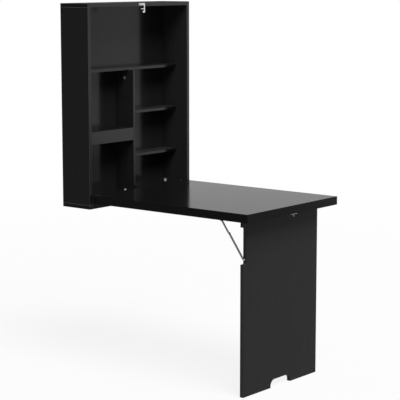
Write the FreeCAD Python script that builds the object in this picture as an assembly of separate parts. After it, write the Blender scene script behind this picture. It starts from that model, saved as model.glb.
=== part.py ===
import FreeCAD, Part
import math
import os

# A fold-down writing desk that hangs on a wall. A shallow cabinet holds the
# shelves, its door is the tabletop, and one broad leg folds under the tabletop.
#
# Origin: the middle of the four wall screw holes, on the wall's surface.
# +X is to the right for someone facing the desk, +Y goes into the wall, +Z is up.
# All lengths are in millimetres.

Vector = FreeCAD.Vector

# Cabinet shell
cabinet_width = 648.0
cabinet_depth = 153.0
cabinet_height = 842.0
cabinet_floor_height = 683.0
board = 16.0
overrun = 5.0

# Back panel, in a groove, and the two rails that hang the cabinet
back_thickness = 4.0
back_setback = 12.0
groove_depth = 5.0
groove_gap = 0.1
rail_height = 60.0
rail_gap = 0.1
wall_hole_radius = 3.5
wall_hole_pitch = 400.0

# Shelves, divider and the apron of the left column
shelf_thickness = 12.0
shelf_recess = 63.0
divider_recess = 39.0
lower_shelf_height = 195.0
shelf_pitch = 186.5
left_shelf_height = 313.0
apron_height = 54.0
shelf_gap = 0.1

# Cam locks, their bolts, and dowels
cam_radius = 7.5
cam_pocket_shell = 3.0
divider_cam_shell = 2.2
cam_height = 30.0
cam_rear_place = 26.0
cam_front_place = 33.0
divider_cam_low = 22.0
divider_cam_high = 33.0
cam_slot_width = 1.6
cam_slot_length = 9.0
cam_slot_depth = 1.2
cam_bolt_radius = 3.0
cam_bolt_bite = 9.0
cam_bolt_end_gap = 0.2
fitting_gap = 0.05
shell_dowel_radius = 4.0
shell_dowel_bite = 10.0
shell_dowel_length = 30.0
shell_dowel_rear_place = 52.0
shell_dowel_front_place = 60.0
shelf_dowel_radius = 3.0
shelf_dowel_length = 20.0
shelf_dowel_bite = 4.5
shelf_dowel_inset = 18.0
dowel_end_gap = 0.5

# Tabletop, a light board: two skins, a frame of rails and a core
top_thickness = 34.0
top_end_gap = 9.1
top_inset = 1.0
top_side_gap = 2.0
top_bottom_gap = 7.0
skin_thickness = 4.0
side_rail_margin = 6.0
inner_rail_width = 60.0
outer_rail_margin = 33.0

# The one hinge pattern, used under the tabletop and at the leg
leaf_length = 60.0
leaf_width = 18.0
leaf_thickness = 1.2
knuckle_radius = 2.6
knuckle_count = 5
knuckle_gap = 0.3
pin_radius = 1.2
pin_gap = 0.05
leaf_screw_line = 11.0
leaf_screw_pitch = 21.0
top_hinge_inset = 156.0
top_hinge_standoff = 0.6
leg_hinge_inset = 70.0
leg_hinge_offset = 3.0

# Wood screws with countersunk heads
screw_radius = 1.6
screw_head_radius = 3.1
screw_head_height = 1.8
leaf_screw_length = 12.0
edge_screw_length = 18.0
top_screw_length = 45.0
drive_radius = 1.3
drive_depth = 0.9

# Leg
leg_side_inset = 56.0
leg_thickness = 16.0
leg_setback = 60.0
leg_top_gap = 1.0
foot_cut_half_width = 68.0
foot_cut_height = 32.0
foot_cut_radius = 26.0
notch_depth = 18.0
notch_top_drop = 30.0
notch_height = 146.0
notch_corner_radius = 5.0

# Folding stay between the tabletop and the leg, in the notch's depth
stay_top_run = 95.0
stay_top_drop = 7.0
stay_leg_drop = 155.0
link_thickness = 2.5
link_gap = 0.3
upper_link_half_width = 3.5
lower_link_half_width = 4.0
rivet_radius = 1.8
rivet_head_radius = 3.4
rivet_head_height = 1.5
rivet_gap = 0.05
stay_spacer_radius = 4.0
stay_spacer_length = 7.0
stay_screw_bite = 20.0
bracket_thickness = 2.5
bracket_half_length = 12.0
bracket_ear_half_width = 6.0
bracket_flange = 25.0
bracket_screw_margin = 6.0
bracket_screw_pitch = 12.0

# Latch on the cabinet's top front edge, and its keeper under the tabletop
latch_pivot_x = -5.0
latch_pivot_drop = 7.5
latch_left = -14.0
latch_right = 26.0
latch_top_drop = 3.2
latch_bar_height = 8.6
latch_lobe_radius = 5.2
latch_arm_width = 7.0
latch_thickness = 2.0
latch_corner_radius = 2.0
slot_half_height = 3.7
prong_height = 3.2
prong_tip_x = 1.0
lower_prong_height = 7.0
lower_prong_tip_x = 11.5
prong_round_share = 0.45
latch_hole_x = 12.0
latch_hole_radius = 1.9
latch_washer_radius = 4.5
latch_washer_thickness = 0.8
latch_screw_radius = 2.0
latch_screw_head_radius = 3.6
latch_screw_head_height = 1.8
latch_screw_bite = 14.0
keeper_x = 5.0
keeper_setback = 7.0
keeper_length = 45.0
keeper_width = 8.0
keeper_thickness = 2.5
keeper_screw_pitch = 32.0
stud_radius = 2.5
stud_length = 12.0
stud_head_radius = 4.2
stud_head_height = 2.0

# Places worked out from the sizes
cabinet_half_width = cabinet_width / 2
inner_half_width = cabinet_half_width - board
cabinet_bottom = -cabinet_height / 2
cabinet_top = cabinet_height / 2
inner_bottom = cabinet_bottom + board
inner_top = cabinet_top - board
floor = cabinet_bottom - cabinet_floor_height
front = -cabinet_depth
back_face = -(back_setback + back_thickness)
shelf_front = front + shelf_recess
divider_front = front + divider_recess
divider_half = shelf_thickness / 2
lower_shelf_top = cabinet_bottom + lower_shelf_height
middle_shelf_top = lower_shelf_top + shelf_pitch
upper_shelf_top = middle_shelf_top + shelf_pitch
left_shelf_top = cabinet_bottom + left_shelf_height
rail_middle = inner_top - rail_height / 2

underside = inner_bottom + top_bottom_gap
top_half_width = inner_half_width - top_side_gap
top_inner_end = front + top_inset
top_hinge_y = front - top_hinge_standoff
top_hinge_z = inner_bottom + top_bottom_gap / 2
top_hinge_x = top_half_width - top_hinge_inset

# Turned up about its hinges, the tabletop ends one gap below the top panel
top_reach = inner_top - top_end_gap - top_hinge_z + top_hinge_standoff
top_outer_end = front - top_reach

leg_outer = top_outer_end + leg_setback
leg_inner = leg_outer + leg_thickness
leg_top = underside - leg_top_gap
leg_hinge_y = leg_inner + leg_hinge_offset
leg_hinge_z = underside - leg_hinge_offset
leg_half_width = top_half_width - leg_side_inset
leg_hinge_x = leg_half_width - leg_hinge_inset
notch_top = underside - notch_top_drop
notch_bottom = notch_top - notch_height
notch_x = -leg_half_width + notch_depth

# The stay is straight when the leg stands. With the leg folded the lower link
# lies along the leg's middle, which sets how the stay's length is shared out.
stay_top_y = leg_hinge_y + stay_top_run
stay_top_z = leg_hinge_z - stay_top_drop
stay_leg_y = leg_inner - leg_thickness / 2
stay_leg_z = leg_hinge_z - stay_leg_drop
stay_length = math.hypot(stay_top_y - stay_leg_y, stay_top_z - stay_leg_z)
folded_run = stay_leg_drop - stay_top_run
folded_drop = leg_hinge_offset + leg_thickness / 2 - stay_top_drop
lower_link_length = (stay_length ** 2 - folded_run ** 2 - folded_drop ** 2) / (2 * (stay_length - folded_run))
upper_link_length = stay_length - lower_link_length
knee_share = upper_link_length / stay_length
knee_y = stay_top_y + (stay_leg_y - stay_top_y) * knee_share
knee_z = stay_top_z + (stay_leg_z - stay_top_z) * knee_share
lower_link_x = notch_x - stay_spacer_length - link_thickness
upper_link_x = lower_link_x - link_gap - link_thickness
bracket_x = upper_link_x - link_gap - bracket_thickness

# The side rails reach in past the stay's bracket, the outer rail past the leg's hinges
core_half_width = -(bracket_x + bracket_flange + side_rail_margin)
outer_rail_end = leg_hinge_y + leaf_width + outer_rail_margin

latch_back = front - latch_washer_thickness
latch_front = latch_back - latch_thickness
latch_pivot_z = cabinet_top - latch_pivot_drop
keeper_y = top_outer_end + keeper_setback
slot_z = top_hinge_z + top_hinge_y - keeper_y

# Each node's solids, and the tools that are cut from them at the end
solids = {}
tools = {}


def add(node, *pieces):
    solids.setdefault(node, []).extend(pieces)


def cut_from(node, *pieces):
    tools.setdefault(node, []).extend(pieces)


def block(x_range, y_range, z_range):
    x0, x1 = sorted(x_range)
    y0, y1 = sorted(y_range)
    z0, z1 = sorted(z_range)
    return Part.makeBox(x1 - x0, y1 - y0, z1 - z0, Vector(x0, y0, z0))


def rod(radius, start, end):
    return Part.makeCylinder(radius, (end - start).Length, start, end - start)


def rounded_plate(corners, radii, thickness):
    """A flat plate from its corners, each rounded by its own radius, pushed along one vector."""
    edges = []
    starts = []
    ends = []
    middles = []
    count = len(corners)
    for index in range(count):
        corner = corners[index]
        back = (corners[index - 1] - corner).normalize()
        ahead = (corners[(index + 1) % count] - corner).normalize()
        half_angle = back.getAngle(ahead) / 2
        radius = radii[index]
        run = radius / math.tan(half_angle)
        inward = (back + ahead).normalize()
        starts.append(corner + back * run)
        ends.append(corner + ahead * run)
        middles.append(corner + inward * (radius / math.sin(half_angle) - radius))
    for index in range(count):
        if radii[index] > 0:
            edges.append(Part.Arc(starts[index], middles[index], ends[index]).toShape())
        following = starts[(index + 1) % count]
        if (following - ends[index]).Length > 0:
            edges.append(Part.LineSegment(ends[index], following).toShape())
    return Part.Face(Part.Wire(edges)).extrude(thickness)


def link_bar(start, end, half_width, thickness):
    """A flat bar with round ends, centred on two pivots."""
    along = (end - start).normalize()
    side = along.cross(thickness).normalize()
    ring = [
        Part.LineSegment(start + side * half_width, end + side * half_width).toShape(),
        Part.Arc(end + side * half_width, end + along * half_width, end - side * half_width).toShape(),
        Part.LineSegment(end - side * half_width, start - side * half_width).toShape(),
        Part.Arc(start - side * half_width, start - along * half_width, start + side * half_width).toShape(),
    ]
    return Part.Face(Part.Wire(ring)).extrude(thickness)


def wood_screw(seat, inward, length, gap):
    """A countersunk screw. With a gap it is the hole that takes the screw."""
    direction = inward.normalize()
    head = Part.makeCone(screw_head_radius + gap, screw_radius + gap, screw_head_height, seat, direction)
    shank = Part.makeCylinder(screw_radius + gap, length + gap, seat, direction)
    whole = head.fuse(shank)
    if gap > 0:
        return whole
    drive = Part.makeCylinder(drive_radius, drive_depth, seat, direction)
    return whole.cut(drive)


def screw_down(node, carriers, seat, inward, length):
    """Puts a screw in its node and bores it through every piece it passes."""
    add(node, wood_screw(seat, inward, length, 0))
    for carrier in carriers:
        cut_from(carrier, wood_screw(seat, inward, length, fitting_gap))


def cabinet_shell():
    outer_x = (-cabinet_half_width, cabinet_half_width)
    depth = (front, 0)
    add("cabinet_left_side", block((-cabinet_half_width, -inner_half_width), depth, (inner_bottom, inner_top)))
    add("cabinet_right_side", block((inner_half_width, cabinet_half_width), depth, (inner_bottom, inner_top)))
    add("cabinet_top_panel", block(outer_x, depth, (inner_top, cabinet_top)))
    add("cabinet_bottom_panel", block(outer_x, depth, (cabinet_bottom, inner_bottom)))

    panel_half = inner_half_width + groove_depth
    panel_z = (inner_bottom - groove_depth, inner_top + groove_depth)
    add("cabinet_back_panel", block((-panel_half, panel_half), (back_face, -back_setback), panel_z))
    groove_half = panel_half + groove_gap
    groove_y = (back_face - groove_gap, groove_gap - back_setback)
    groove_z = (panel_z[0] - groove_gap, panel_z[1] + groove_gap)
    groove = block((-groove_half, groove_half), groove_y, groove_z)
    for node in ("cabinet_left_side", "cabinet_right_side", "cabinet_top_panel", "cabinet_bottom_panel"):
        cut_from(node, groove)


def hanging_rails():
    """Two rails behind the back panel, each with two holes for the wall screws."""
    rail_x = (rail_gap - inner_half_width, inner_half_width - rail_gap)
    for node, side in (("upper_hanging_rail", 1), ("lower_hanging_rail", -1)):
        middle = side * rail_middle
        half = rail_height / 2 - rail_gap
        add(node, block(rail_x, (rail_gap - back_setback, 0), (middle - half, middle + half)))
        for x in (-wall_hole_pitch / 2, wall_hole_pitch / 2):
            hole = rod(wall_hole_radius, Vector(x, back_face - overrun, middle), Vector(x, overrun, middle))
            cut_from(node, hole)
            cut_from("cabinet_back_panel", hole)
        for end in (-1, 1):
            cross_dowel("hanging_rail_dowels", node, side_node(end), end * inner_half_width, -end,
                        -back_setback / 2, middle)


def side_node(end):
    return "cabinet_right_side" if end > 0 else "cabinet_left_side"


def cross_dowel(node, shelf_node, carrier_node, seam_x, inward, y, z):
    """A dowel along X, from a blind hole in the carrier into the end of a shelf."""
    reach = shelf_dowel_length - shelf_dowel_bite
    outer = Vector(seam_x - inward * shelf_dowel_bite, y, z)
    inner = Vector(seam_x + inward * reach, y, z)
    add(node, rod(shelf_dowel_radius, outer, inner))
    end_gap = Vector(inward * dowel_end_gap, 0, 0)
    hole = rod(shelf_dowel_radius + fitting_gap, outer - end_gap, inner + end_gap)
    cut_from(shelf_node, hole)
    cut_from(carrier_node, hole)


def shelf(node, left_node, right_node, x_range, top):
    """A shelf between two uprights, on two dowels at each end."""
    left, right = x_range
    add(node, block((left + shelf_gap, right - shelf_gap), (shelf_front, back_face), (top - shelf_thickness, top)))
    middle = top - shelf_thickness / 2
    for y in (back_face - shelf_dowel_inset, shelf_front + shelf_dowel_inset):
        cross_dowel("shelf_dowels", node, left_node, left, 1, y, middle)
        cross_dowel("shelf_dowels", node, right_node, right, -1, y, middle)


def shelves_and_divider():
    divider_top = upper_shelf_top - shelf_thickness
    right_bay = (divider_half, inner_half_width)
    left_bay = (-inner_half_width, -divider_half)
    add("divider_panel", block((-divider_half, divider_half), (divider_front, back_face),
                               (inner_bottom, divider_top)))
    shelf("upper_shelf", "cabinet_left_side", "cabinet_right_side", (-inner_half_width, inner_half_width),
          upper_shelf_top)
    shelf("right_upper_shelf", "divider_panel", "cabinet_right_side", right_bay, middle_shelf_top)
    shelf("right_lower_shelf", "divider_panel", "cabinet_right_side", right_bay, lower_shelf_top)
    shelf("left_shelf", "cabinet_left_side", "divider_panel", left_bay, left_shelf_top)

    apron_y = (divider_front, divider_front + shelf_thickness)
    add("left_shelf_apron", block((left_bay[0] + shelf_gap, left_bay[1] - shelf_gap), apron_y,
                                  (left_shelf_top - apron_height, left_shelf_top)))
    middle = left_shelf_top - apron_height / 2
    y = sum(apron_y) / 2
    cross_dowel("apron_dowels", "left_shelf_apron", "cabinet_left_side", left_bay[0], 1, y, middle)
    cross_dowel("apron_dowels", "left_shelf_apron", "divider_panel", left_bay[1], -1, y, middle)


def cam_lock(node, bolt_node, carrier, target, face_x, inward, carrier_thickness, shell, y, cam_z, seam_z):
    """A cam lock let into a board's face, and the bolt that it pulls on, which stands in the next board."""
    depth = carrier_thickness - shell
    face = Vector(face_x, y, cam_z)
    disc = rod(cam_radius, face, face + Vector(inward * depth, 0, 0))
    slot = block((face_x, face_x + inward * cam_slot_depth), (y - cam_slot_width / 2, y + cam_slot_width / 2),
                 (cam_z - cam_slot_length / 2, cam_z + cam_slot_length / 2))
    add(node, disc.cut(slot))
    cut_from(carrier, rod(cam_radius + fitting_gap, face, face + Vector(inward * (depth + fitting_gap), 0, 0)))

    toward = 1 if seam_z > cam_z else -1
    bolt_x = face_x + inward * carrier_thickness / 2
    bolt_start = Vector(bolt_x, y, cam_z + toward * (cam_radius + cam_bolt_end_gap))
    bolt_end = Vector(bolt_x, y, seam_z + toward * cam_bolt_bite)
    add(bolt_node, rod(cam_bolt_radius, bolt_start, bolt_end))
    hole = rod(cam_bolt_radius + fitting_gap, Vector(bolt_x, y, cam_z), bolt_end + Vector(0, 0, toward * fitting_gap))
    cut_from(carrier, hole)
    cut_from(target, hole)


def shell_fittings():
    """Two dowels at each corner of the cabinet, with two screws at the top and two cam locks at the bottom."""
    for end in (-1, 1):
        x = end * (inner_half_width + board / 2)
        for y in (-cam_rear_place, front + cam_front_place):
            cam_lock("cabinet_cam_locks", "cabinet_cam_bolts", side_node(end), "cabinet_bottom_panel",
                     end * inner_half_width, end, board, cam_pocket_shell, y, inner_bottom + cam_height, inner_bottom)
            screw_down("cabinet_top_screws", ["cabinet_top_panel", side_node(end)], Vector(x, y, cabinet_top),
                       Vector(0, 0, -1), top_screw_length)
        for target, seam_z, up in (("cabinet_top_panel", inner_top, 1), ("cabinet_bottom_panel", inner_bottom, -1)):
            for y in (-shell_dowel_rear_place, front + shell_dowel_front_place):
                outer = Vector(x, y, seam_z + up * shell_dowel_bite)
                inner = outer - Vector(0, 0, up * shell_dowel_length)
                add("cabinet_dowels", rod(shell_dowel_radius, outer, inner))
                end_gap = Vector(0, 0, up * dowel_end_gap)
                hole = rod(shell_dowel_radius + fitting_gap, outer + end_gap, inner - end_gap)
                cut_from(side_node(end), hole)
                cut_from(target, hole)


def divider_fittings():
    """One cam lock at each end of the divider, on its left face."""
    y = (divider_front + back_face) / 2
    top_seam = upper_shelf_top - shelf_thickness
    cam_lock("divider_cam_locks", "divider_cam_bolts", "divider_panel", "upper_shelf",
             -divider_half, 1, shelf_thickness, divider_cam_shell, y, top_seam - divider_cam_high, top_seam)
    cam_lock("divider_cam_locks", "divider_cam_bolts", "divider_panel", "cabinet_bottom_panel",
             -divider_half, 1, shelf_thickness, divider_cam_shell, y, inner_bottom + divider_cam_low,
             inner_bottom)


def tabletop_board():
    """Two skins over a frame of side and end rails, filled by a light core."""
    whole_x = (-top_half_width, top_half_width)
    whole_y = (top_outer_end, top_inner_end)
    top = underside + top_thickness
    middle_z = (underside + skin_thickness, top - skin_thickness)
    add("tabletop_lower_skin", block(whole_x, whole_y, (underside, middle_z[0])))
    add("tabletop_upper_skin", block(whole_x, whole_y, (middle_z[1], top)))
    for side in (-1, 1):
        add("tabletop_side_rails", block((side * core_half_width, side * top_half_width), whole_y, middle_z))
    inner_y = (top_inner_end - inner_rail_width, top_inner_end)
    outer_y = (top_outer_end, outer_rail_end)
    add("tabletop_inner_rail", block((-core_half_width, core_half_width), inner_y, middle_z))
    add("tabletop_outer_rail", block((-core_half_width, core_half_width), outer_y, middle_z))
    add("tabletop_core", block((-core_half_width, core_half_width), (outer_y[1], inner_y[0]), middle_z))


def hinge_frame(x, y, z, along, toward):
    """Moves a hinge leaf drawn at zero: its Y runs along the leaf and its Z toward the board that carries it."""
    turn = FreeCAD.Rotation(along.cross(toward), along, toward, "XYZ")
    return FreeCAD.Placement(Vector(x, y, z), turn).toMatrix()


def hinge_leaf(offset, first_knuckle):
    """One leaf with every second knuckle. The board's surface is at Z = offset from the pin."""
    left = -leaf_length / 2
    segment = leaf_length / knuckle_count
    leaf = block((left, -left), (0, leaf_width), (offset - leaf_thickness, offset))
    reach = knuckle_radius + knuckle_gap
    barrels = []
    notches = []
    for index in range(knuckle_count):
        start = left + index * segment
        if index % 2 == first_knuckle:
            barrel_start = Vector(start + knuckle_gap / 2, 0, 0)
            barrels.append(rod(knuckle_radius, barrel_start, barrel_start + Vector(segment - knuckle_gap, 0, 0)))
        else:
            notches.append(block((start - knuckle_gap / 2, start + segment + knuckle_gap / 2),
                                 (-overrun, reach), (offset - leaf_thickness - overrun, offset + overrun)))
    leaf = leaf.cut(notches).fuse(barrels)
    bore = rod(pin_radius + pin_gap, Vector(left - overrun, 0, 0), Vector(overrun - left, 0, 0))
    return leaf.cut(bore).removeSplitter()


def place_leaf(node, screw_node, carriers, matrix, offset, first_knuckle, screw_length):
    """Puts one leaf and its three screws in place, and bores the boards under it."""
    leaf = hinge_leaf(offset, first_knuckle)
    for x in (-leaf_screw_pitch, 0, leaf_screw_pitch):
        seat = Vector(x, leaf_screw_line, offset - leaf_thickness)
        inward = Vector(0, 0, 1)
        screw = wood_screw(seat, inward, screw_length, 0)
        hole = wood_screw(seat, inward, screw_length, fitting_gap)
        leaf = leaf.cut(hole)
        add(screw_node, screw.transformed(matrix))
        for carrier in carriers:
            cut_from(carrier, hole.transformed(matrix))
    add(node, leaf.transformed(matrix))


def hinge_pin(node, x, y, z):
    half = leaf_length / 2
    add(node, rod(pin_radius, Vector(x - half, y, z), Vector(x + half, y, z)))


def tabletop_hinges():
    """Three hinges between the bottom panel's front edge and the underside of the tabletop."""
    up = Vector(0, 0, 1)
    down = Vector(0, 0, -1)
    to_wall = Vector(0, 1, 0)
    to_room = Vector(0, -1, 0)
    for x in (-top_hinge_x, 0, top_hinge_x):
        cabinet_side = hinge_frame(x, top_hinge_y, top_hinge_z, down, to_wall)
        place_leaf("top_hinge_cabinet_leaves", "top_hinge_cabinet_screws", ["cabinet_bottom_panel"],
                   cabinet_side, top_hinge_standoff, 0, edge_screw_length)
        top_side = hinge_frame(x, top_hinge_y, top_hinge_z, to_room, up)
        place_leaf("top_hinge_tabletop_leaves", "top_hinge_tabletop_screws",
                   ["tabletop_lower_skin", "tabletop_inner_rail", "tabletop_side_rails"],
                   top_side, top_bottom_gap / 2, 1, leaf_screw_length)
        hinge_pin("top_hinge_pins", x, top_hinge_y, top_hinge_z)


def leg_hinges():
    """Three hinges in the inner corner between the tabletop and the leg."""
    up = Vector(0, 0, 1)
    down = Vector(0, 0, -1)
    to_wall = Vector(0, 1, 0)
    to_room = Vector(0, -1, 0)
    for x in (-leg_hinge_x, 0, leg_hinge_x):
        top_side = hinge_frame(x, leg_hinge_y, leg_hinge_z, to_wall, up)
        place_leaf("leg_hinge_tabletop_leaves", "leg_hinge_tabletop_screws",
                   ["tabletop_lower_skin", "tabletop_outer_rail"],
                   top_side, leg_hinge_offset, 0, leaf_screw_length)
        leg_side = hinge_frame(x, leg_hinge_y, leg_hinge_z, down, to_room)
        place_leaf("leg_hinge_leg_leaves", "leg_hinge_leg_screws", ["leg_panel"],
                   leg_side, leg_hinge_offset, 1, leaf_screw_length)
        hinge_pin("leg_hinge_pins", x, leg_hinge_y, leg_hinge_z)


def leg_panel():
    """One board with a notch for the stay in its left edge and a low arch between two feet."""
    outline = (
        (-leg_half_width, floor, 0),
        (-leg_half_width, notch_bottom, 0),
        (notch_x, notch_bottom, notch_corner_radius),
        (notch_x, notch_top, notch_corner_radius),
        (-leg_half_width, notch_top, 0),
        (-leg_half_width, leg_top, 0),
        (leg_half_width, leg_top, 0),
        (leg_half_width, floor, 0),
        (foot_cut_half_width, floor, 0),
        (foot_cut_half_width, floor + foot_cut_height, foot_cut_radius),
        (-foot_cut_half_width, floor + foot_cut_height, foot_cut_radius),
        (-foot_cut_half_width, floor, 0),
    )
    corners = [Vector(x, leg_outer, z) for x, z, radius in outline]
    radii = [radius for x, z, radius in outline]
    add("leg_panel", rounded_plate(corners, radii, Vector(0, leg_thickness, 0)))


def flat_link(x, start, end, half_width):
    """A link of the stay, seen from the side, with a hole at each pivot."""
    start_point = Vector(x, *start)
    end_point = Vector(x, *end)
    bar = link_bar(start_point, end_point, half_width, Vector(link_thickness, 0, 0))
    reach = Vector(link_thickness, 0, 0)
    holes = [rod(rivet_radius + rivet_gap, point - reach, point + reach * 2) for point in (start_point, end_point)]
    return bar.cut(holes)


def stay():
    """A bracket, two links and their pivots. The knee's rivet is in two halves, one on each link."""
    top_pivot = (stay_top_y, stay_top_z)
    knee = (knee_y, knee_z)
    leg_pivot = (stay_leg_y, stay_leg_z)
    add("stay_upper_link", flat_link(upper_link_x, top_pivot, knee, upper_link_half_width))
    add("stay_lower_link", flat_link(lower_link_x, knee, leg_pivot, lower_link_half_width))

    upper_knee = Vector(upper_link_x, *knee)
    through = Vector(link_thickness, 0, 0)
    head = Vector(rivet_head_height, 0, 0)
    outer_shank = rod(rivet_radius, upper_knee, upper_knee + through)
    add("stay_knee_outer_rivet", outer_shank.fuse(rod(rivet_head_radius, upper_knee - head, upper_knee)))
    lower_knee = Vector(lower_link_x, *knee)
    inner_shank = rod(rivet_radius, lower_knee, lower_knee + through)
    add("stay_knee_inner_rivet", inner_shank.fuse(rod(rivet_head_radius, lower_knee + through,
                                                      lower_knee + through + head)))

    ear = link_bar(Vector(bracket_x, *top_pivot), Vector(bracket_x, stay_top_y, underside),
                   bracket_ear_half_width, Vector(bracket_thickness, 0, 0))
    above = block((bracket_x - overrun, bracket_x + bracket_flange),
                  (stay_top_y - bracket_half_length * 2, stay_top_y + bracket_half_length * 2),
                  (underside, underside + bracket_half_length * 2))
    flange = block((bracket_x, bracket_x + bracket_flange),
                   (stay_top_y - bracket_half_length, stay_top_y + bracket_half_length),
                   (underside - bracket_thickness, underside))
    pivot_hole = rod(rivet_radius + rivet_gap, Vector(bracket_x - overrun, *top_pivot),
                     Vector(bracket_x + bracket_thickness + overrun, *top_pivot))
    bracket = ear.cut(above).cut(pivot_hole).fuse(flange).removeSplitter()
    add("stay_bracket", bracket)
    screw_x = bracket_x + bracket_flange - bracket_screw_margin
    for y in (stay_top_y - bracket_screw_pitch / 2, stay_top_y + bracket_screw_pitch / 2):
        screw_down("stay_bracket_screws", ["stay_bracket", "tabletop_lower_skin", "tabletop_side_rails"],
                   Vector(screw_x, y, underside - bracket_thickness), Vector(0, 0, 1), leaf_screw_length)

    rivet_start = Vector(bracket_x, *top_pivot)
    rivet_end = Vector(upper_link_x + link_thickness, *top_pivot)
    add("stay_bracket_rivet", rod(rivet_radius, rivet_start, rivet_end).fuse(
        rod(rivet_head_radius, rivet_start - head, rivet_start)))

    screw_head = Vector(lower_link_x, *leg_pivot)
    spacer_start = Vector(lower_link_x + link_thickness, *leg_pivot)
    spacer_end = Vector(notch_x, *leg_pivot)
    thread_end = Vector(notch_x + stay_screw_bite, *leg_pivot)
    add("stay_leg_screw", rod(rivet_radius, screw_head, thread_end).fuse(
        rod(rivet_head_radius, screw_head - head, screw_head)))
    hole = rod(rivet_radius + rivet_gap, screw_head, thread_end + Vector(fitting_gap, 0, 0))
    add("stay_leg_spacer", rod(stay_spacer_radius, spacer_start, spacer_end))
    cut_from("stay_leg_spacer", hole)
    cut_from("leg_panel", hole)


def latch():
    """A hook that turns on one screw in the top panel's front edge, and hangs over the keeper's stud.

    Its bar swells into a round lobe at the screw and at the second hole.
    """
    bar_top = cabinet_top - latch_top_drop
    bar_bottom = bar_top - latch_bar_height
    arm_x = latch_right - latch_arm_width
    slot_top = slot_z + slot_half_height
    slot_bottom = slot_z - slot_half_height
    small = latch_corner_radius
    tip_round = prong_height * prong_round_share
    lower_round = lower_prong_height * prong_round_share
    outline = (
        (latch_left, bar_top, small),
        (latch_right, bar_top, small),
        (latch_right, slot_bottom - lower_prong_height, lower_round),
        (lower_prong_tip_x, slot_bottom - lower_prong_height, lower_round),
        (lower_prong_tip_x, slot_bottom, small),
        (arm_x, slot_bottom, small),
        (arm_x, slot_top, small),
        (prong_tip_x, slot_top, tip_round),
        (prong_tip_x, slot_top + prong_height, tip_round),
        (arm_x, slot_top + prong_height, small),
        (arm_x, bar_bottom, small),
        (latch_left, bar_bottom, small),
    )
    corners = [Vector(x, latch_back, z) for x, z, radius in outline]
    radii = [radius for x, z, radius in outline]
    hook = rounded_plate(corners, radii, Vector(0, -latch_thickness, 0))
    holes = []
    for x, radius in ((latch_pivot_x, latch_screw_radius + pin_gap), (latch_hole_x, latch_hole_radius)):
        hook = hook.fuse(rod(latch_lobe_radius, Vector(x, latch_back, latch_pivot_z),
                             Vector(x, latch_front, latch_pivot_z)))
        holes.append(rod(radius, Vector(x, latch_back + overrun, latch_pivot_z),
                         Vector(x, latch_front - overrun, latch_pivot_z)))
    add("latch_hook", hook.removeSplitter().cut(holes))

    pivot_front = Vector(latch_pivot_x, latch_front - pin_gap, latch_pivot_z)
    pivot_end = Vector(latch_pivot_x, front + latch_screw_bite, latch_pivot_z)
    head = Vector(0, -latch_screw_head_height, 0)
    drive = rod(drive_radius, pivot_front + head, pivot_front + head + Vector(0, drive_depth, 0))
    add("latch_screw", rod(latch_screw_radius, pivot_front, pivot_end).fuse(
        rod(latch_screw_head_radius, pivot_front, pivot_front + head)).cut(drive))
    hole = rod(latch_screw_radius + fitting_gap, pivot_front, pivot_end + Vector(0, fitting_gap, 0))
    washer_face = Vector(latch_pivot_x, latch_back + pin_gap, latch_pivot_z)
    add("latch_washer", rod(latch_washer_radius, washer_face, Vector(latch_pivot_x, front, latch_pivot_z)))
    cut_from("latch_washer", hole)
    cut_from("cabinet_top_panel", hole)


def keeper():
    """A small bar under the tabletop's outer end, with the headed stud that the hook slips behind."""
    half = keeper_length / 2
    bar_bottom = underside - keeper_thickness
    corner = latch_corner_radius
    outline = ((keeper_x - half, keeper_y - keeper_width / 2), (keeper_x + half, keeper_y - keeper_width / 2),
               (keeper_x + half, keeper_y + keeper_width / 2), (keeper_x - half, keeper_y + keeper_width / 2))
    corners = [Vector(x, y, bar_bottom) for x, y in outline]
    add("keeper_plate", rounded_plate(corners, [corner] * len(corners), Vector(0, 0, keeper_thickness)))
    for x in (keeper_x - keeper_screw_pitch / 2, keeper_x + keeper_screw_pitch / 2):
        screw_down("keeper_screws", ["keeper_plate", "tabletop_lower_skin", "tabletop_outer_rail"],
                   Vector(x, keeper_y, bar_bottom), Vector(0, 0, 1), leaf_screw_length)
    stud_top = Vector(keeper_x, keeper_y, bar_bottom)
    stud_end = Vector(keeper_x, keeper_y, underside - stud_length)
    head_start = stud_end + Vector(0, 0, stud_head_height)
    add("keeper_stud", rod(stud_radius, stud_top, stud_end).fuse(rod(stud_head_radius, head_start, stud_end)))


def write_parts():
    """Cuts every hole, checks each solid, and writes one file for each node."""
    os.makedirs("parts", exist_ok=True)
    for node, pieces in solids.items():
        if node in tools:
            pieces = [piece.cut(tools[node]) for piece in pieces]
        whole = pieces[0] if len(pieces) == 1 else Part.makeCompound(pieces)
        whole.exportStep("parts/" + node + ".step")
        print(node, len(whole.Solids), "solids", "valid" if whole.isValid() else "BROKEN",
              round(sum(solid.Volume for solid in whole.Solids)), "mm3")


def print_joints():
    """Prints the pivots, and how far each link of the stay turns while the leg folds."""
    upper_start = math.degrees(math.atan2(knee_z - stay_top_z, knee_y - stay_top_y))
    folded_knee_run = folded_run - lower_link_length
    upper_end = math.degrees(math.atan2(-folded_drop, folded_knee_run))
    lower_start = math.degrees(math.atan2(knee_z - stay_leg_z, knee_y - stay_leg_y))
    print("tabletop hinge", top_hinge_y, top_hinge_z)
    print("leg hinge", leg_hinge_y, leg_hinge_z)
    print("stay top pivot", stay_top_y, stay_top_z, "turns", upper_start - upper_end)
    print("stay leg pivot", stay_leg_y, stay_leg_z, "turns", 90 - lower_start)
    print("knee", knee_y, knee_z, "links", upper_link_length, lower_link_length)
    print("latch pivot", latch_pivot_x, latch_front, latch_pivot_z, "slot", slot_z - cabinet_top)
    print("floor", floor, "nodes", len(solids))


cabinet_shell()
hanging_rails()
shelves_and_divider()
shell_fittings()
divider_fittings()
tabletop_board()
tabletop_hinges()
leg_hinges()
leg_panel()
stay()
latch()
keeper()
write_parts()
print_joints()
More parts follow.
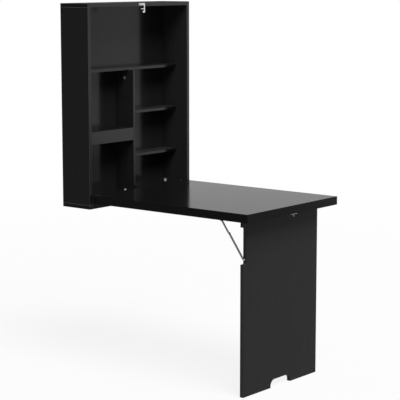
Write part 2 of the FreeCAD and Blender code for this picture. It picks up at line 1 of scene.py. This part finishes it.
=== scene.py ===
# %% [markdown]
# # A wall-hung folding desk in black board
#
# The desk is a shallow cabinet with shelves, a tabletop that folds up to become the cabinet's front, one
# broad leg that folds in under the tabletop, a small folding stay and a hook latch. The CAD model gives every
# piece its place and its joints, so this lesson dresses it: it eases the sharp edges of the boards, gives
# each piece a finish made of shader nodes, and sets up a white studio and a camera.

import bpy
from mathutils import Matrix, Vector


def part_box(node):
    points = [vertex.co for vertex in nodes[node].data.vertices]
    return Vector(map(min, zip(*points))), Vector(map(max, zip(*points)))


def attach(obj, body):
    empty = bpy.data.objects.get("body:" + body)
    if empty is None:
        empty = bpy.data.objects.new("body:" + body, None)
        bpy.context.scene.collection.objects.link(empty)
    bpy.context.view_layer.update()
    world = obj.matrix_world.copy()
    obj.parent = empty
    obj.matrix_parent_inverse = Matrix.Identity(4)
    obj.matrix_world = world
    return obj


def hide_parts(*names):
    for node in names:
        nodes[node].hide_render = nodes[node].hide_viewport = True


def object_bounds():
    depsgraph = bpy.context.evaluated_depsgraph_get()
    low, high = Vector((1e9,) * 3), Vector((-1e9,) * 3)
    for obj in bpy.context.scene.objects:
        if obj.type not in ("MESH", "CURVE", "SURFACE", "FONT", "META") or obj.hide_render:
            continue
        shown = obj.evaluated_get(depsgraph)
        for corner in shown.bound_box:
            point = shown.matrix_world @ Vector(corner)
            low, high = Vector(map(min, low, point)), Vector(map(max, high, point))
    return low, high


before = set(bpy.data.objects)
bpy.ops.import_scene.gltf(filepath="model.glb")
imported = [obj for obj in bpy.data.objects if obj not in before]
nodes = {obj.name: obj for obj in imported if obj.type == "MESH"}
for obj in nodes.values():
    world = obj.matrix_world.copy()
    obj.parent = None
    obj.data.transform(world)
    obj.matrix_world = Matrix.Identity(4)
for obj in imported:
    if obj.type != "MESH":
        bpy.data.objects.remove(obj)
cad_low, cad_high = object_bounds()

# %% Modules for meshes, sums and writing
import math

import bmesh
import bpy
from mathutils import Quaternion, Vector

X, Y, Z = range(3)

# %% [markdown]
# ## Shader sums written as Python
#
# A finish is a small network of nodes. Adding every Math node by hand hides the idea behind the wiring, so
# one class wraps an output socket and turns +, - and * into Math nodes. The reflected forms let a plain
# number stand on the left, as in 1 - mask. A second class makes any other node from its type, settings and
# inputs.

# %% A value that flows between nodes
class Wire:
    """An output socket that can be used in a Python sum."""

    def __init__(self, sheet, socket):
        self.sheet = sheet
        self.socket = socket

    def __add__(self, other):
        return self.sheet.math("ADD", self, other)

    __radd__ = __add__

    def __mul__(self, other):
        return self.sheet.math("MULTIPLY", self, other)

    __rmul__ = __mul__

    def __sub__(self, other):
        return self.sheet.math("SUBTRACT", self, other)

    def __rsub__(self, other):
        return self.sheet.math("SUBTRACT", other, self)


# %% A sheet of nodes: a material's or the world's
class Sheet:
    """A node tree that is filled by one method."""

    def __init__(self, owner):
        owner.use_nodes = True
        self.tree = owner.node_tree
        self.tree.nodes.clear()

    def node(self, kind, settings=None, inputs=None, output=0):
        """Adds a node, sets it up, feeds its sockets and returns one of its outputs, if it has any."""
        made = self.tree.nodes.new(kind)
        for name, value in (settings or {}).items():
            if name == "stops":
                self.set_stops(made.color_ramp, value)
            else:
                setattr(made, name, value)
        for name, value in (inputs or {}).items():
            socket = self.find(made.inputs, name)
            if isinstance(value, Wire):
                self.tree.links.new(value.socket, socket)
            else:
                socket.default_value = value
        return Wire(self, self.find(made.outputs, output)) if len(made.outputs) else None

    def find(self, sockets, name):
        """A socket by its place, its identifier or its name."""
        if isinstance(name, int):
            return sockets[name]
        matches = [s for s in sockets if s.identifier == name] or [s for s in sockets if s.name == name]
        return matches[0]

    def set_stops(self, ramp, stops):
        """Sets the two stops that a new ramp has, from pairs of place and grey level."""
        for element, (place, grey) in zip(ramp.elements, stops):
            element.position = place
            element.color = (grey, grey, grey, 1)

    def math(self, operation, *values):
        return self.node("ShaderNodeMath", {"operation": operation}, dict(enumerate(values)))

    def place(self):
        """The point in the object's own space in metres, which for every piece is the CAD model's space."""
        return self.node("ShaderNodeTexCoord", output="Object")

    def noise(self, vector, scale, detail=3.0, roughness=0.5):
        inputs = {"Vector": vector, "Scale": scale, "Detail": detail, "Roughness": roughness}
        return self.node("ShaderNodeTexNoise", {}, inputs, "Fac")

    def stretched_noise(self, vector, scales, detail=3.0, roughness=0.5):
        """Noise with a scale of its own along each axis."""
        stretched = self.node("ShaderNodeMapping", {}, {"Vector": vector, "Scale": scales})
        return self.noise(stretched, 1.0, detail, roughness)

    def rise(self, value, start, end):
        """0 up to the start, 1 from the end on, and a straight rise between them."""
        return self.node("ShaderNodeValToRGB", {"stops": [(start, 0.0), (end, 1.0)]}, {"Fac": value}, "Color")

    def colours(self, share, low, high):
        """A colour between two, by a share from 0 to 1."""
        inputs = {"Factor_Float": share, "A_Color": (*low, 1), "B_Color": (*high, 1)}
        return self.node("ShaderNodeMix", {"data_type": "RGBA"}, inputs, "Result_Color")

    def relief(self, height, distance):
        """A normal bent by a height map; the distance is in metres."""
        return self.node("ShaderNodeBump", {}, {"Height": height, "Distance": distance, "Strength": 1.0})


# %% A material from its sheet
def finish(name, build):
    """Makes a material and lets build(sheet) return its principled inputs."""
    material = bpy.data.materials.new(name)
    sheet = Sheet(material)
    shader = sheet.node("ShaderNodeBsdfPrincipled", {}, build(sheet), "BSDF")
    sheet.node("ShaderNodeOutputMaterial", {}, {"Surface": shader})
    print(f"finish {name}: {len(sheet.tree.nodes)} nodes")
    return material


# %% [markdown]
# ## Black board
#
# The boards are chipboard under a black printed foil with a satin sheen. Seen straight on they are nearly
# black, and at a low angle they mirror the white room, which is what makes the tabletop look pale. Fine pores
# run along each board. A picture of grain would do, but noise stretched along the board needs no files and
# has no repeats. Each board's foil colours are scaled by a level that paints in light and shade: above 1 it
# paints light, as on the cabinet's right side, and below 1 it paints shade, as on the cabinet's left side and
# back, the tabletop and the left shelf. The cabinet's top gets a film of dust, which also keeps it from
# mirroring the lamp to someone who looks from behind.

# %% The foil on the broad faces
foil_dark = (0.0108, 0.0108, 0.0112)
foil_light = (0.0138, 0.0138, 0.0142)
foil_gloss = 1.10
foil_roughness = 0.10
foil_relief = 0.000006
pores_across = 420.0
pores_along = 9.0
streak_share = 0.12


def foil(along, level=1.0):
    """Printed foil whose pores run along one axis, with its colours scaled by a level that paints light above
    1 and shade below 1.
    """
    dark = tuple(part * level for part in foil_dark)
    light = tuple(part * level for part in foil_light)

    def build(sheet):
        here = sheet.place()
        scales = [pores_across, pores_across, pores_across]
        scales[along] = pores_along
        pores = sheet.stretched_noise(here, scales, detail=4.0, roughness=0.6)
        streaks = sheet.stretched_noise(here, [scale * streak_share for scale in scales])
        smudges = sheet.noise(here, scale=5.0, detail=4.0, roughness=0.55)
        peel = sheet.noise(here, scale=700.0, detail=2.0)
        fine = sheet.rise(pores, start=0.42, end=0.60)
        return {
            "Base Color": sheet.colours(fine * 0.6 + streaks * 0.4, dark, light),
            "Roughness": foil_roughness + smudges * 0.06 + fine * 0.03,
            "IOR": foil_gloss,
            "Normal": sheet.relief(fine * 0.7 + peel * 0.3, foil_relief),
        }

    return build


foil_along_x = finish("black_foil_x", foil(X))
foil_along_z = finish("black_foil_z", foil(Z))
# Levels above 1 paint light and levels below 1 paint shade on these boards.
left_foil_painted_shade = finish("black_foil_left_side_painted_shade", foil(Z, level=0.68))
right_foil_painted_light = finish("black_foil_right_side_painted_light", foil(Z, level=1.3))
back_foil_painted_shade = finish("black_foil_back_painted_shade", foil(Z, level=0.6))
tabletop_foil_painted_shade = finish("black_foil_top_painted_shade", foil(Y, level=0.3))
left_shelf_foil_painted_shade = finish("black_foil_left_shelf_painted_shade", foil(X, level=0.3))

# %% The dusty top of the cabinet
dust_dark = (0.011, 0.011, 0.011)
dust_light = (0.020, 0.020, 0.019)
dull_gloss = 1.03
dust_roughness = 0.46
dust_relief = 0.000003


def dusty(sheet):
    """A film of dust that takes the foil's sheen away."""
    here = sheet.place()
    film = sheet.noise(here, scale=9.0, detail=5.0, roughness=0.6)
    specks = sheet.noise(here, scale=900.0)
    return {
        "Base Color": sheet.colours(film * 0.7 + specks * 0.3, dust_dark, dust_light),
        "Roughness": dust_roughness + film * 0.12,
        "IOR": dull_gloss,
        "Normal": sheet.relief(specks, dust_relief),
    }


dusty_foil = finish("black_foil_dusty", dusty)

# %% [markdown]
# ## Edge strips and worn corners, with painted highlights and shade
#
# A thin strip is glued around the narrow edges of each board. It has no pores and mirrors a little more than
# the foil does, so it shows as a light line. Where two faces meet, the trimmed corner is worn in patches and
# nicks, and its grey is painted: lighter than the foil along the cabinet's outer corners, the seams along its
# sides and the leg's corners, which paints a highlight along them, and darker inside the cabinet, which
# paints shade there. The leg's strip is painted lighter than the cabinet's, which paints light on the leg's
# edges. One dark paint for all of it would be quicker, but the strips, the leg and the seams along the
# cabinet's sides look unlike one another, so each has its own pair of colours.

# %% The strip on the narrow edges
strip_gloss = 1.13
strip_dark = (0.0022, 0.0022, 0.0024)
strip_light = (0.0042, 0.0041, 0.0040)
tabletop_strip_gloss = 1.06
tabletop_strip_dark = (0.0052, 0.0052, 0.0054)
tabletop_strip_light = (0.0082, 0.0081, 0.0080)
strip_roughness = 0.16
strip_relief = 0.000005


def edge_strip(gloss, dark, light):
    """A smooth dark strip, rubbed a little lighter in places."""

    def build(sheet):
        here = sheet.place()
        smudges = sheet.noise(here, scale=14.0)
        peel = sheet.noise(here, scale=500.0, detail=2.0)
        rubbed = sheet.rise(sheet.noise(here, scale=60.0, detail=5.0, roughness=0.7), start=0.58, end=0.75)
        return {
            "Base Color": sheet.colours(rubbed, dark, light),
            "Roughness": strip_roughness + smudges * 0.08,
            "IOR": gloss,
            "Normal": sheet.relief(peel, strip_relief),
        }

    return build


edge_finish = finish("black_edge_strip", edge_strip(strip_gloss, strip_dark, strip_light))
tabletop_edge_finish = finish(
    "black_top_strip", edge_strip(tabletop_strip_gloss, tabletop_strip_dark, tabletop_strip_light)
)

# %% The strip around the leg, painted lighter
# These colours are lighter than the cabinet's strip, a painted light on the leg's edges.
leg_strip_dark = (0.016, 0.016, 0.0165)
leg_strip_light = (0.025, 0.025, 0.0255)
worn_roughness = 0.30


def painted_light_leg_strip(sheet):
    """The leg's strip has a more open film than the cabinet's, and its colour is painted lighter, which
    paints light on its edges.
    """
    here = sheet.place()
    smudges = sheet.noise(here, scale=12.0)
    film = sheet.stretched_noise(here, [600.0, 600.0, 30.0])
    return {
        "Base Color": sheet.colours(film * 0.7 + smudges * 0.3, leg_strip_dark, leg_strip_light),
        "Roughness": worn_roughness + smudges * 0.08,
        "IOR": strip_gloss,
        "Normal": sheet.relief(film, strip_relief),
    }


leg_edge_painted_light = finish("leg_edge_strip_painted_light", painted_light_leg_strip)


# %% The worn round along each corner, with painted highlight and shade
def corner_wear_and_painted_light(dark, light, gloss=strip_gloss):
    """A round between two grey levels, in uneven patches with small nicks; lighter levels paint a highlight
    along the corner and darker ones paint shade.
    """

    def build(sheet):
        here = sheet.place()
        patches = sheet.rise(sheet.noise(here, scale=35.0, detail=4.0, roughness=0.6), start=0.40, end=0.65)
        nicks = sheet.noise(here, scale=600.0)
        return {
            "Base Color": sheet.colours(patches * 0.7 + nicks * 0.3, 3 * (dark,), 3 * (light,)),
            "Roughness": worn_roughness + nicks * 0.14,
            "IOR": gloss,
            "Normal": sheet.relief(nicks, strip_relief),
        }

    return build


# The outer corners, seams and leg corners are painted lighter, a painted highlight; the inner corners are
# painted darker, painted shade.
outer_corner_painted_highlight = finish("rubbed_outer_corner_painted_highlight", corner_wear_and_painted_light(dark=0.022, light=0.040))
seam_painted_highlight = finish("rubbed_seam_painted_highlight", corner_wear_and_painted_light(dark=0.060, light=0.090))
inner_corner_painted_shade = finish("rubbed_inner_corner_painted_shade", corner_wear_and_painted_light(dark=0.006, light=0.012))
leg_corner_painted_highlight = finish("rubbed_leg_corner_painted_highlight", corner_wear_and_painted_light(dark=0.016, light=0.035))
tabletop_corner_finish = finish("rubbed_top_corner", corner_wear_and_painted_light(dark=0.003, light=0.007, gloss=dull_gloss))

# %% [markdown]
# ## Easing the edges of a board
#
# A real board never ends in a perfectly sharp corner: the edge strip is trimmed with a small round, and that
# round catches the light as a thin line. The CAD mesh has every hole and notch but sharp corners. So each
# board is copied, its flat faces are merged again into large ones, and only its long outer corners are
# bevelled. Each face is then told by its normal: broad face, narrow edge, or round, with the rounds that run
# front to back kept apart, because they are the seams that show on the cabinet's sides.

# %% Copy a node's mesh with eased corners
board_ease = 0.0007
board_segments = 2
shortest_corner = 0.004
merge_distance = 0.000001
box_slack = 0.00002
flat_angle = math.radians(0.5)
sharp_angle = math.radians(50)


def planes_of(low, high, point):
    """Which of the six faces of a box a point lies on."""
    found = set()
    for axis in range(3):
        if abs(point[axis] - low[axis]) < box_slack:
            found.add((axis, 0))
        if abs(point[axis] - high[axis]) < box_slack:
            found.add((axis, 1))
    return found


def outer_corners(mesh, low, high, shortest):
    """The sharp edges that run along the faces of the board's box."""
    chosen = []
    for edge in mesh.edges:
        if len(edge.link_faces) != 2 or edge.calc_face_angle(0.0) < sharp_angle:
            continue
        shared = planes_of(low, high, edge.verts[0].co) & planes_of(low, high, edge.verts[1].co)
        if shared and edge.calc_length() > shortest:
            chosen.append(edge)
    return chosen


def round_off(mesh, edges, ease, segments):
    """Rounds edges of a mesh by ease metres and says how many faces that made."""
    made = bmesh.ops.bevel(
        mesh, geom=edges, offset=ease, offset_type="OFFSET", segments=segments, profile=0.5, affect="EDGES",
        clamp_overlap=True,
    )
    print(f"{len(edges)} corners eased by {ease * 1000:.1f} mm, {len(made['faces'])} faces made")


def eased_mesh(node, shortest=shortest_corner):
    """A cleaned copy of a node's mesh with its outer corners rounded, apart from the shortest."""
    mesh = bmesh.new()
    mesh.from_mesh(nodes[node].data)
    bmesh.ops.remove_doubles(mesh, verts=mesh.verts, dist=merge_distance)
    bmesh.ops.dissolve_limit(mesh, angle_limit=flat_angle, verts=mesh.verts, edges=mesh.edges)
    low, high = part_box(node)
    round_off(mesh, outer_corners(mesh, low, high, shortest), board_ease, board_segments)
    return mesh


# %% Tell the broad faces from the edges and the rounds
square_limit = 0.995
broad_limit = 0.9
front_to_back_limit = 0.05


def mark_edges(mesh, thin):
    """Slot 0 is for broad faces, 1 for strips, 2 for rounds and 3 for rounds that run front to back."""
    for face in mesh.faces:
        if max(abs(part) for part in face.normal) > square_limit:
            face.material_index = 0 if abs(face.normal[thin]) > broad_limit else 1
        else:
            face.material_index = 3 if abs(face.normal.y) < front_to_back_limit else 2


# %% Finish a mesh as a piece that stands for its nodes
def board_piece(name, mesh, thin, body, materials, replaced):
    """Turns a mesh into a board on a body; its materials are for slots 0 to 3."""
    mark_edges(mesh, thin)
    data = bpy.data.meshes.new(name)
    mesh.to_mesh(data)
    mesh.free()
    made = bpy.data.objects.new(name, data)
    bpy.context.scene.collection.objects.link(made)
    for material in materials:
        data.materials.append(material)
    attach(made, body)
    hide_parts(*replaced)
    print(f"{name}: {len(data.polygons)} faces on {body}")


# %% [markdown]
# ## The cabinet's boards
#
# The two sides stand between the top and bottom panels, and the divider and shelves fill the frame. Thin is
# the axis through a board's thickness, and broad is the foil on its broad faces. One loop over a table makes
# them all, so that the boards can differ only in what the table says.

# %% Make the cabinet's boards
# The outside rounds carry a painted highlight, the inside rounds painted shade.
outside = [outer_corner_painted_highlight, seam_painted_highlight]
inside = [inner_corner_painted_shade, inner_corner_painted_shade]
cabinet_boards = [
    ("cabinet_left_side", X, left_foil_painted_shade, outside),
    ("cabinet_right_side", X, right_foil_painted_light, outside),
    ("cabinet_top_panel", Z, dusty_foil, outside),
    ("cabinet_bottom_panel", Z, foil_along_x, outside),
    ("divider_panel", X, foil_along_z, inside),
    ("upper_shelf", Z, foil_along_x, inside),
    ("right_upper_shelf", Z, foil_along_x, inside),
    ("right_lower_shelf", Z, foil_along_x, inside),
    ("left_shelf", Z, left_shelf_foil_painted_shade, inside),
    ("left_shelf_apron", Y, foil_along_x, inside),
]
for node, thin, broad, rounds in cabinet_boards:
    board_piece(f"{node}_board", eased_mesh(node), thin, "cabinet", [broad, edge_finish, *rounds], [node])

# %% [markdown]
# ## The leg
#
# The leg is one broad board with a tall notch for the stay in its left edge and an arch between its two feet.
# The arch has rounded inner corners, so shorter corners are eased here than on a plain board.

# %% Make the leg
shortest_leg_corner = 0.0012
leg_finishes = [foil_along_z, leg_edge_painted_light, leg_corner_painted_highlight, leg_corner_painted_highlight]
leg = eased_mesh("leg_panel", shortest_leg_corner)
board_piece("leg_panel_board", leg, Y, "leg", leg_finishes, ["leg_panel"])

# %% [markdown]
# ## The tabletop
#
# Inside, the tabletop is a frame of rails and a light core between two thin skins. Outside it is one thick
# board, because the foil and the edge strip cover every seam. It is made as one slab with rounded corners.

# %% Make the tabletop
tabletop_ease = 0.0009
tabletop_segments = 3
tabletop_nodes = [
    "tabletop_upper_skin", "tabletop_lower_skin", "tabletop_side_rails", "tabletop_inner_rail",
    "tabletop_outer_rail", "tabletop_core",
]
tabletop_finishes = [tabletop_foil_painted_shade, tabletop_edge_finish, tabletop_corner_finish, tabletop_corner_finish]
boxes = [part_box(node) for node in tabletop_nodes]
slab_low = Vector([min(low[axis] for low, high in boxes) for axis in range(3)])
slab_high = Vector([max(high[axis] for low, high in boxes) for axis in range(3)])
slab_size = [slab_high[axis] - slab_low[axis] for axis in range(3)]
slab = bmesh.new()
bmesh.ops.create_cube(slab, size=1.0)
for vertex in slab.verts:
    vertex.co = Vector([slab_low[axis] + (vertex.co[axis] + 0.5) * slab_size[axis] for axis in range(3)])
round_off(slab, slab.edges[:], tabletop_ease, tabletop_segments)
board_piece("tabletop_board", slab, Z, "tabletop", tabletop_finishes, tabletop_nodes)
print("tabletop " + " by ".join(f"{size:.3f}" for size in slab_size) + " m")

# %% [markdown]
# ## Metal finishes
#
# The cam locks are cast zinc, dull and mottled. Those nearer the front of the cabinet and the one high on the
# divider are darker: their zinc's colour darkens along an axis, which is painted shade. The hook and the
# keeper are plated sheet with fine scratches. Their own grey is dark, and the hook looks bright only because
# it mirrors the soft lamp at the side. The stay is plated strip with lines from drawing, and the hinges,
# screws and rivets are a lighter zinc plated steel. One metal for all would save nodes, but close up each is
# told by its pattern.

# %% Cast zinc with painted shade
zinc_black = (0.0, 0.0, 0.0)
zinc_white = (0.95, 0.95, 0.95)
zinc_metallic = 0.45
zinc_roughness = 0.46
zinc_relief = 0.00002


def zinc_with_painted_shade(axis, unshaded_at, shaded_at, deepest_shade):
    """Zinc whose colour darkens along one axis as painted shade, from unshaded at one place to its darkest at
    another, both in metres.
    """

    def build(sheet):
        here = sheet.place()
        along = sheet.node("ShaderNodeSeparateXYZ", {}, {"Vector": here}, axis)
        # The colour's share falls along the axis, which paints shade on the cam locks.
        unshaded_share = sheet.node("ShaderNodeMapRange", {}, {
            "Value": along, "From Min": unshaded_at, "From Max": shaded_at, "To Min": 1.0, "To Max": deepest_shade,
        }, "Result")
        mottle = sheet.noise(here, scale=900.0, detail=4.0, roughness=0.6)
        grime = sheet.rise(sheet.noise(here, scale=260.0), start=0.45, end=0.75)
        return {
            "Base Color": sheet.colours(unshaded_share * (0.82 + mottle * 0.18), zinc_black, zinc_white),
            "Metallic": zinc_metallic,
            "Roughness": zinc_roughness + mottle * 0.12 + grime * 0.08,
            "Normal": sheet.relief(mottle, zinc_relief),
        }

    return build


# The cabinet's cams nearer the front and the divider's high cam get painted shade.
cabinet_zinc_painted_shade = finish("cast_zinc_sides_painted_shade", zinc_with_painted_shade(Y, unshaded_at=-0.06, shaded_at=-0.11, deepest_shade=0.08))
divider_zinc_painted_shade = finish("cast_zinc_divider_painted_shade", zinc_with_painted_shade(Z, unshaded_at=-0.30, shaded_at=0.10, deepest_shade=0.3))

# %% Plated sheet of the hook and the keeper
sheet_dark = (0.105, 0.105, 0.108)
sheet_light = (0.145, 0.145, 0.145)
plate_roughness = 0.24
scratch_relief = 0.000003


def bright_plate(sheet):
    here = sheet.place()
    scratches = sheet.stretched_noise(here, [120.0, 120.0, 2600.0])
    clouds = sheet.noise(here, scale=60.0)
    return {
        "Base Color": sheet.colours(clouds, sheet_dark, sheet_light),
        "Metallic": 1.0,
        "Roughness": plate_roughness + clouds * 0.06 + scratches * 0.06,
        "Normal": sheet.relief(scratches, scratch_relief),
    }


bright_finish = finish("bright_plate", bright_plate)

# %% Plated steel of the hinges, screws and rivets
steel_dark = (0.30, 0.31, 0.32)
steel_light = (0.46, 0.46, 0.47)
steel_roughness = 0.26
spangle_relief = 0.00001


def plated_steel(sheet):
    here = sheet.place()
    spangle = sheet.noise(here, scale=400.0, detail=4.0, roughness=0.6)
    clouds = sheet.noise(here, scale=45.0)
    return {
        "Base Color": sheet.colours(spangle * 0.6 + clouds * 0.4, steel_dark, steel_light),
        "Metallic": 1.0,
        "Roughness": steel_roughness + clouds * 0.12 + spangle * 0.06,
        "Normal": sheet.relief(spangle, spangle_relief),
    }


steel_finish = finish("plated_steel", plated_steel)

# %% Plated strip of the stay
stay_dark = (0.125, 0.125, 0.128)
stay_light = (0.175, 0.175, 0.178)
draw_relief = 0.000006


def dark_plate(sheet):
    here = sheet.place()
    draw_lines = sheet.stretched_noise(here, [900.0, 60.0, 60.0])
    clouds = sheet.noise(here, scale=70.0)
    return {
        "Base Color": sheet.colours(clouds, stay_dark, stay_light),
        "Metallic": 1.0,
        "Roughness": plate_roughness + clouds * 0.10 + draw_lines * 0.06,
        "Normal": sheet.relief(draw_lines, draw_relief),
    }


stay_finish = finish("dark_plate", dark_plate)

# %% [markdown]
# ## Raw board and beech
#
# The hanging rails behind the back panel are raw chipboard, and the dowels are beech. The rails show only
# from behind, but each still gets its own finish: cells of Voronoi noise for the chips, and long pores for
# the beech. One plain brown would be simpler, but it would show no chips.

# %% Raw chipboard and beech
chip_dark = (0.10, 0.075, 0.05)
chip_light = (0.20, 0.155, 0.11)
chip_relief = 0.0001
beech_dark = (0.48, 0.32, 0.19)
beech_light = (0.68, 0.51, 0.34)
beech_relief = 0.00004


def chipboard(sheet):
    here = sheet.place()
    chips = sheet.node("ShaderNodeTexVoronoi", {}, {"Vector": here, "Scale": 420.0}, "Distance")
    dust = sheet.noise(here, scale=900.0)
    return {
        "Base Color": sheet.colours(chips * 0.7 + dust * 0.3, chip_dark, chip_light),
        "Roughness": 0.75 + dust * 0.15,
        "Normal": sheet.relief(chips + dust * 0.4, chip_relief),
    }


def beech(sheet):
    here = sheet.place()
    pores = sheet.stretched_noise(here, [60.0, 900.0, 900.0], detail=4.0)
    return {
        "Base Color": sheet.colours(pores, beech_dark, beech_light),
        "Roughness": 0.55 + pores * 0.15,
        "Normal": sheet.relief(pores, beech_relief),
    }


chipboard_finish = finish("raw_chipboard", chipboard)
beech_finish = finish("beech", beech)

# %% Give the CAD nodes that stay their finishes
slot_finish = {
    "black_board": back_foil_painted_shade,
    "raw_board": chipboard_finish,
    "beech": beech_finish,
    "zinc": cabinet_zinc_painted_shade,
    "light_metal": bright_finish,
    "steel": steel_finish,
}
own_finish = {
    "divider_cam_locks": divider_zinc_painted_shade,
    "stay_upper_link": stay_finish,
    "stay_lower_link": stay_finish,
    "stay_bracket": stay_finish,
}
kept = {name: node for name, node in nodes.items() if not node.hide_render}
for name, node in kept.items():
    for place in node.material_slots:
        slot = place.material.name.split(".")[0]
        place.material = own_finish.get(name, slot_finish[slot])
print(f"{len(kept)} CAD nodes keep their meshes")

# %% [markdown]
# ## White studio
#
# The photograph has a pure white ground. The floor is plain white and shows the room's brightness to the
# camera and in reflections, while a share of it is still lit by the lamps, so that the desk keeps a soft
# shadow. That share fades out with distance, so no line shows where the floor ends. A floor lit only by lamps
# would be simpler, but it would never be evenly white.

# %% What the camera and the reflections see
def seen(sheet):
    """1 for rays that show the background: from the camera, off gloss and through glass."""
    hidden = 1.0
    for kind in ("Is Camera Ray", "Is Glossy Ray", "Is Transmission Ray"):
        hidden = (1 - sheet.node("ShaderNodeLightPath", output=kind)) * hidden
    return 1 - hidden


# %% The floor
floor_half_size = 60.0
floor_grey = (0.4, 0.4, 0.4, 1)
white = (1, 1, 1, 1)
glow_near = 0.88
fade_start = 1.5
fade_end = 6.0
floor_mesh = bmesh.new()
bmesh.ops.create_grid(floor_mesh, x_segments=1, y_segments=1, size=floor_half_size)
floor_data = bpy.data.meshes.new("floor")
floor_mesh.to_mesh(floor_data)
floor_mesh.free()
floor = bpy.data.objects.new("floor", floor_data)
floor.location.z = cad_low.z
bpy.context.scene.collection.objects.link(floor)
floor_material = bpy.data.materials.new("white_floor")
floor_sheet = Sheet(floor_material)
floor_place = floor_sheet.place()
floor_distance = floor_sheet.node("ShaderNodeVectorMath", {"operation": "LENGTH"}, {0: floor_place}, "Value")
floor_fade = floor_sheet.node("ShaderNodeMapRange", {"interpolation_type": "SMOOTHSTEP"}, {
    "Value": floor_distance, "From Min": fade_start, "From Max": fade_end, "To Min": glow_near, "To Max": 1.0,
}, "Result")
floor_share = seen(floor_sheet) * floor_fade
floor_lit = floor_sheet.node("ShaderNodeBsdfDiffuse", {}, {"Color": floor_grey}, "BSDF")
floor_glow = floor_sheet.node("ShaderNodeEmission", {}, {"Color": white, "Strength": 1.0})
floor_mix = floor_sheet.node("ShaderNodeMixShader", {}, {0: floor_share, 1: floor_lit, 2: floor_glow})
floor_sheet.node("ShaderNodeOutputMaterial", {}, {"Surface": floor_mix})
floor_data.materials.append(floor_material)
print(f"floor at {floor.location.z:.3f} m")

# %% The air around the desk
air_level = 0.24
air = bpy.data.worlds.new("white_air")
bpy.context.scene.world = air
air_sheet = Sheet(air)
air_strength = air_level + seen(air_sheet) * (1 - air_level)
air_light = air_sheet.node("ShaderNodeBackground", {}, {"Color": white, "Strength": air_strength})
air_sheet.node("ShaderNodeOutputWorld", {}, {"Surface": air_light})
print(f"the air looks white and lights the desk {air_level:.2f} as much as a white room")

# %% [markdown]
# ## Lamps
#
# The photographed strips are light at the top and fade toward the floor. A soft lamp low at the right in
# front gives that, because the strips mirror it, and so does the foil of the upper back panel. Without it all
# of them are flat and dark. The leg, the cabinet's left side and the cam locks are lit as by a high window,
# and a very broad sun does this with one setting for its softness. A ring of small lamps would be another
# way, but it has more values to match to the photograph.

# %% The side softbox
softbox_place = Vector((3.2, -3.0, 0.20))
softbox_aim = Vector((0.0, -0.2, 0.25))
softbox_width = 2.2
softbox_height = 1.8
softbox_watts = 62.0
softbox_roll = math.radians(-26)
softbox_light = bpy.data.lights.new("side_softbox", "AREA")
softbox_light.shape = "RECTANGLE"
softbox_light.size = softbox_width
softbox_light.size_y = softbox_height
softbox_light.energy = softbox_watts
softbox = bpy.data.objects.new("side_softbox", softbox_light)
softbox.location = softbox_place
softbox_turn = (softbox_aim - softbox_place).to_track_quat("-Z", "Y")
softbox.rotation_euler = (softbox_turn @ Quaternion((0.0, 0.0, 1.0), softbox_roll)).to_euler()
softbox.visible_camera = False
bpy.context.scene.collection.objects.link(softbox)
softbox_level = softbox_watts / (math.pi * softbox_width * softbox_height)
print(f"side_softbox is {softbox_level:.2f} as bright as a white room")

# %% A broad window high in front
window_strength = 6.5
window_breadth = math.radians(38)
window_height = math.radians(57)
window_side = math.radians(-20)
window_light = bpy.data.lights.new("high_window", "SUN")
window_light.energy = window_strength
window_light.angle = window_breadth
window = bpy.data.objects.new("high_window", window_light)
toward_window = Vector((
    math.cos(window_height) * math.sin(window_side),
    -math.cos(window_height) * math.cos(window_side),
    math.sin(window_height),
))
window.rotation_euler = toward_window.to_track_quat("Z", "Y").to_euler()
bpy.context.scene.collection.objects.link(window)
window_level = window_strength * -toward_window.y / math.pi
print(f"high_window lights the fronts {window_level:.2f} as much as a white room")

# %% [markdown]
# ## Camera
#
# The place, the turns and the lens were fitted to the straight edges in the photograph, and then settled by
# moving each a little and comparing the renders with it. The camera stands to the left of the desk, about six
# metres away and a little higher than the cabinet's top, and looks slightly down. The lens is shifted by a
# fraction of a pixel.

# %% Set the camera
camera_place = (-4.744830, -4.290354, 0.536023)
camera_turn = math.radians(51.199142)
camera_tilt = math.radians(8.641444)
camera_roll = math.radians(0.029551)
camera_data = bpy.data.cameras.new("camera")
camera_data.sensor_width = 36.0
camera_data.lens = 133.613718
camera_data.shift_x = -0.000419
camera_data.shift_y = 0.000650
camera_data.clip_end = 200.0
camera = bpy.data.objects.new("camera", camera_data)
camera.location = camera_place
camera.rotation_euler = (math.pi / 2 - camera_tilt, camera_roll, -camera_turn)
bpy.context.scene.collection.objects.link(camera)
bpy.context.scene.camera = camera
bpy.context.scene.view_settings.view_transform = "Standard"
print(f"camera {camera.location.z - cad_high.z:.2f} m above the cabinet's top")
